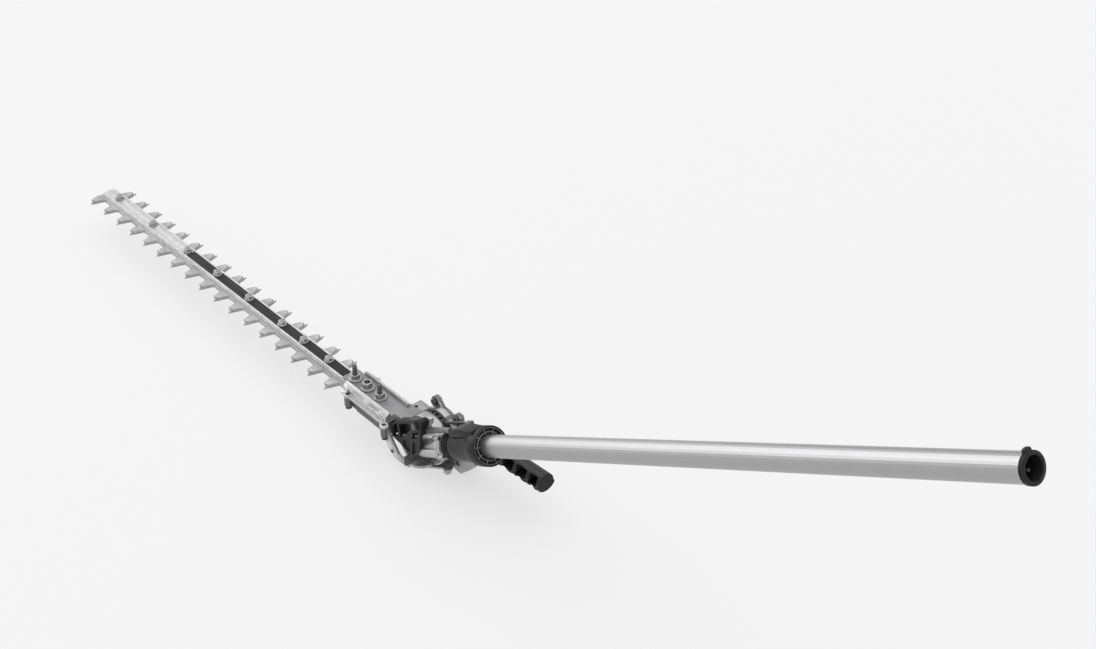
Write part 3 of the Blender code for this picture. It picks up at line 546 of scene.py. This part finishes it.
# Collars and clamp nuts along the neck, and the tab beside the release rod, whose slot is a thin black
# plate of painted shade
for number, (low, high, radius) in enumerate(((49.0, 52.5, 13.4), (61.4, 64.4, 15.2)), 1):
    profile = [
        (12.0, low), (radius - 0.5, low), (radius, low + 0.5),
        (radius, high - 0.5), (radius - 0.5, high), (12.0, high),
    ]
    collar = lathe(profile, "X", POLE)
    add_piece(collar, f"neck_collar_{number}", "pole", "cast_alloy")
for number, (y, n) in enumerate(((-13.6, -9.0), (-10.5, 12.6), (13.6, -9.0)), 1):
    nut = rod((53.0, 64.6), 3.0, (y, n), 6)
    soften(nut, 0.4)
    add_piece(nut, f"clamp_nut_{number}", "pole", "bright_steel")
outline = [(36, 33.5), (48.5, 36.6), (55.0, 34.0), (50.0, 26.8), (41.0, 26.4)]
tab = prism(outline, "Y", (-7.3, -2.0), POLE)
soften(tab, 0.8)
add_piece(tab, "rod_guide_tab", "pole", "cast_alloy")
# The slot is not cut: a thin black plate on the tab's face is painted shade in its place
slot = prism([(43.5, 30.4), (51.6, 32.6), (52.0, 31.2), (43.9, 29.0)], "Y", (-7.5, -7.2), POLE)
add_piece(slot, "rod_guide_slot_painted_shade", "pole", "black_steel")

# Side bracket: a moulding with open pockets between its ribs
pockets = (
    (((1.5, 32.4), (27.0, 33.6), (24.0, 25.8), (3.2, 17.4), (-6.0, 16.5)), -11.0),
    (((-4.8, 11.6), (2.5, 13.8), (12.2, 11.6), (2.2, -3.4), (-7.0, 5.0)), -16.6),
    (((26.0, 21.6), (38.0, 22.6), (33.8, 15.2), (18.5, 14.6)), -12.0),
    (((17.2, 10.2), (27.6, 9.4), (28.0, 6.6), (12.4, -4.3), (5.2, -5.6)), -16.6),
    (((-12.2, 31.0), (-3.0, 33.6), (-8.6, 17.4), (-19.6, 18.6)), -13.0),
)
detailed(
    "side_bracket", 0.5,
    *[prism(outline, "Y", (-30, depth), POLE) for outline, depth in pockets],
)
profile = [(0, -19.6), (5.4, -19.6), (5.9, -19.0), (6.2, -14.0), (0, -14.0)]
boss = lathe(profile, "Y", POLE, (37.5, 30.4), 40)
add_piece(boss, "bracket_screw_boss", "pole", "black_plastic")

for node in (
    "bracket_bolt", "bracket_screw_1", "bracket_screw_2", "bracket_screw_3",
    "cover_screw_1", "cover_screw_2", "cover_screw_3", "cover_screw_4",
):
    detailed(node, 0.35)

# ------------------------------------------------------------------ handle

bracket = detailed("handle_bracket", 0.6)
bracket.data.materials[0] = MATERIALS["grey_cast"]

windows = []
for start, end in ((-61.0, -44.5), (-38.5, -22.5), (-16.8, -3.8)):
    outline = [(start - 2.5, -5.5), (end - 3.0, -4.8), (end, 8.2), (start + 4.0, 8.8)]
    windows.append(prism(outline, "Y", (-14.0, 2.5), GRIP))
grip = copy_of("handle_grip")
cut_with(grip, *windows)
soften(grip, 0.8, segments=3)
add_piece(grip, "handle_grip_finish", "head", "black_plastic", "handle_grip")

# Finger ribs: rounded half hoops under the grip, at each end of the windows
HOOP_R = 11.2
HOOP_LEAN = 2.2
for number, s in enumerate((-69.0, -42.5, -20.5, -1.8), 1):
    hoop = []
    for k in range(17):
        angle = math.radians(-168 + 156 * k / 16)
        lean = HOOP_LEAN * math.sin(angle) + HOOP_LEAN
        hoop.append((s + lean, HOOP_R * math.cos(angle), HOOP_R * math.sin(angle)))
    add_piece(tube_along(hoop, 1.5, GRIP, 16), f"grip_rib_{number}", "head", "black_plastic")

# Scalloped beads along the lower edge of the windows
for number, (start, end) in enumerate(((-66.0, -46.5), (-41.0, -24.5), (-18.8, -5.0)), 1):
    scallop = []
    for k in range(13):
        share = k / 12
        sag = math.sin(math.pi * share)
        scallop.append((start + (end - start) * share, -3.0 - 1.5 * sag, -11.0 - 1.6 * sag))
    add_piece(tube_along(scallop, 1.6, GRIP, 16), f"grip_scallop_{number}", "head", "black_plastic")
profile = [(0, -0.4), (9.2, -0.4), (10.2, -0.8), (10.9, -1.8), (11.0, -3.2), (0, -3.2)]
cap = lathe(profile, "X", GRIP, (0, 0), 48)
add_piece(cap, "grip_end_cap", "head", "black_plastic")

# ------------------------------------------------------------------ locking sleeve

START = 70.0
END = 147.0
BORE_R = 13.1
GROOVE_PITCH = 3.0
profile = [(BORE_R, START), (15.8, START), (16.4, START + 0.5)]
for groove in range(4):
    s = START + 2.6 + GROOVE_PITCH * groove
    profile += [(16.9, s - 1.3), (17.3, s - 0.9), (17.3, s + 0.1), (15.7, s + 0.5), (15.7, s + 1.1)]
# Up the swelling grip, round the wide rear end and back along the bore
profile += [
    (17.3, START + 14.4), (17.7, START + 22), (18.2, START + 34), (18.8, START + 46),
    (19.4, START + 53), (20.6, START + 57.5), (22.0, START + 60.5), (22.4, START + 62.5),
    (22.4, END - 0.8), (21.9, END), (21.0, END), (20.6, END - 0.5), (20.4, END - 8),
    (17.2, END - 8), (17.2, START + 15), (BORE_R, START + 15),
]
sleeve = lathe(profile, "X", POLE, sides=96)
add_piece(sleeve, "sliding_sleeve_finish", "sleeve", "black_plastic", "sliding_sleeve")

# Crest along the top, behind the release rod's end
crest = prism(
    [(92, 15.5), (92, 20.6), (97, 22.6), (113, 25.4), (118, 25.2), (139.6, 22.8), (139.6, 15.5)],
    "Y", (-13.2, 4.2), POLE,
)
cut_with(crest, rod((80, 150), 16.9, (0, 0), 64))
soften(crest, 1.4, segments=3)
add_piece(crest, "sleeve_crest", "sleeve", "black_plastic")

# Ribs and rings on the open rear face
for number in range(10):
    angle = math.radians(18 + 36 * number)
    y, n = math.cos(angle), math.sin(angle)
    rib = tube_along([(END - 1.5, 13.6 * y, 13.6 * n), (END - 1.5, 20.6 * y, 20.6 * n)], 0.45, POLE, 12)
    add_piece(rib, f"sleeve_face_rib_{number + 1}", "sleeve", "black_plastic")
    rib.data.materials[0] = MATERIALS["rib_grey"]
for number, (radius, lift) in enumerate(((20.2, 0.0), (15.6, -1.0)), 1):
    inner, outer = radius - 0.6, radius + 0.5
    profile = [
        (inner, END - 2.6), (outer, END - 2.6), (outer, END - 1.2 + lift),
        (radius, END - 0.8 + lift), (inner, END - 1.2 + lift),
    ]
    ring = lathe(profile, "X", POLE, sides=96)
    add_piece(ring, f"sleeve_face_ring_{number}", "sleeve", "black_plastic")
    ring.data.materials[0] = MATERIALS["rib_grey"]

# The spring, on its own copy of the mesh, rides the pole; the end ring rides the sleeve
spring = copy_of("return_spring")
smooth(spring.data, 60)
add_piece(spring, "return_spring_finish", "pole", "machined_steel", "return_spring")
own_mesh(spring)
profile = [(13.2, END - 7.6), (19.8, END - 7.6), (19.8, END - 5.6), (13.2, END - 5.6)]
end_ring = lathe(profile, "X", POLE, sides=96)
add_piece(end_ring, "sleeve_end_ring_finish", "sleeve", "black_plastic", "sleeve_end_ring")

# Dots between the grooves
for number in range(12):
    turn = math.radians(195 + 12 * (number % 4))
    s = START + 4.3 + GROOVE_PITCH * (number // 4)
    dimple = rod((s - 0.5, s + 0.6), 0.9, (17.0 * math.cos(turn), 17.0 * math.sin(turn)), 12)
    add_piece(dimple, f"sleeve_grip_dot_{number + 1}", "sleeve", "black_plastic")

# ------------------------------------------------------------------ tube end

detailed("tube_coupling", 0.25)
detailed("shaft_coupler", 0.2)

# ------------------------------------------------------------------ nodes that keep their CAD shape

for name, obj in NODES.items():
    if not obj.hide_render:
        paint(obj, SLOTS[name])
        smooth(obj.data, 38)

# ------------------------------------------------------------------ floor, light and camera

FLOOR_GAP = 0.0002
FLOOR_SPAN = 40.0
FLOOR_GLOW = 0.60  # light the floor gives off itself, which keeps the shadow faint
PANEL_DIRECTION = (-0.96, -0.22, 0.17)
PANEL_LEVEL = 1.3
SKY_STRENGTH = 1.8
CAMERA_PLACE = (0.50005, -0.9138, 0.83945)
CAMERA_AIM = (-0.60727, 0.53547, -0.58694)
LENS = 57.9

floor_z = cad_box[0].z - FLOOR_GAP
bm = bmesh.new()
bmesh.ops.create_grid(bm, x_segments=1, y_segments=1, size=FLOOR_SPAN)
floor = add_object("floor", bm, Matrix.Translation((0, 0, floor_z)))
paper = build_material("paper_floor", (0.21, 0.21, 0.21), 0.0, 0.8, grain=60.0, bump=0.0, spread=0.0)
paper_shader = paper.node_tree.nodes["Principled BSDF"]
paper_shader.inputs["Emission Color"].default_value = (1, 1, 1, 1)
paper_shader.inputs["Emission Strength"].default_value = FLOOR_GLOW
floor.data.materials.append(paper)

# A dome of soft light, brightest overhead, with a round soft panel low down beyond the bar's tip
world = bpy.data.worlds.new("studio")
world.use_nodes = True
sky, sky_links = world.node_tree.nodes, world.node_tree.links
direction = sky.new("ShaderNodeTexCoord").outputs["Generated"]


def sky_ramp(value, stops):
    ramp = sky.new("ShaderNodeValToRGB")
    for place, _ in stops[1:-1]:
        ramp.color_ramp.elements.new(place)
    for element, (place, level) in zip(ramp.color_ramp.elements, stops):
        element.position = place
        element.color = (level, level, level, 1)
    sky_links.new(value, ramp.inputs["Fac"])
    return ramp.outputs["Color"]


split = sky.new("ShaderNodeSeparateXYZ")
sky_links.new(direction, split.inputs["Vector"])
dome = sky_ramp(split.outputs["Z"], ((0.0, 0.22), (0.25, 0.28), (0.5, 0.45), (0.8, 0.85), (1.0, 1.0)))
toward_panel = sky.new("ShaderNodeVectorMath")
toward_panel.operation = "DOT_PRODUCT"
toward_panel.inputs[1].default_value = PANEL_DIRECTION
sky_links.new(direction, toward_panel.inputs[0])
panel = sky_ramp(toward_panel.outputs["Value"], ((0.0, 0.0), (0.80, 0.0), (0.95, 1.0), (1.0, 1.0)))
total = sky.new("ShaderNodeMath")
total.operation = "MULTIPLY_ADD"
total.inputs[1].default_value = PANEL_LEVEL
sky_links.new(panel, total.inputs[0])
sky_links.new(dome, total.inputs[2])
sky_links.new(total.outputs["Value"], sky["Background"].inputs["Color"])
sky["Background"].inputs["Strength"].default_value = SKY_STRENGTH
bpy.context.scene.world = world
bpy.context.scene.view_settings.view_transform = "Standard"

camera_data = bpy.data.cameras.new("camera")
camera_data.lens = LENS
camera = bpy.data.objects.new("camera", camera_data)
camera.location = CAMERA_PLACE
camera.rotation_euler = Vector(CAMERA_AIM).to_track_quat("-Z", "Y").to_euler()
camera_data.clip_start = 0.01
bpy.context.scene.collection.objects.link(camera)
bpy.context.scene.camera = camera
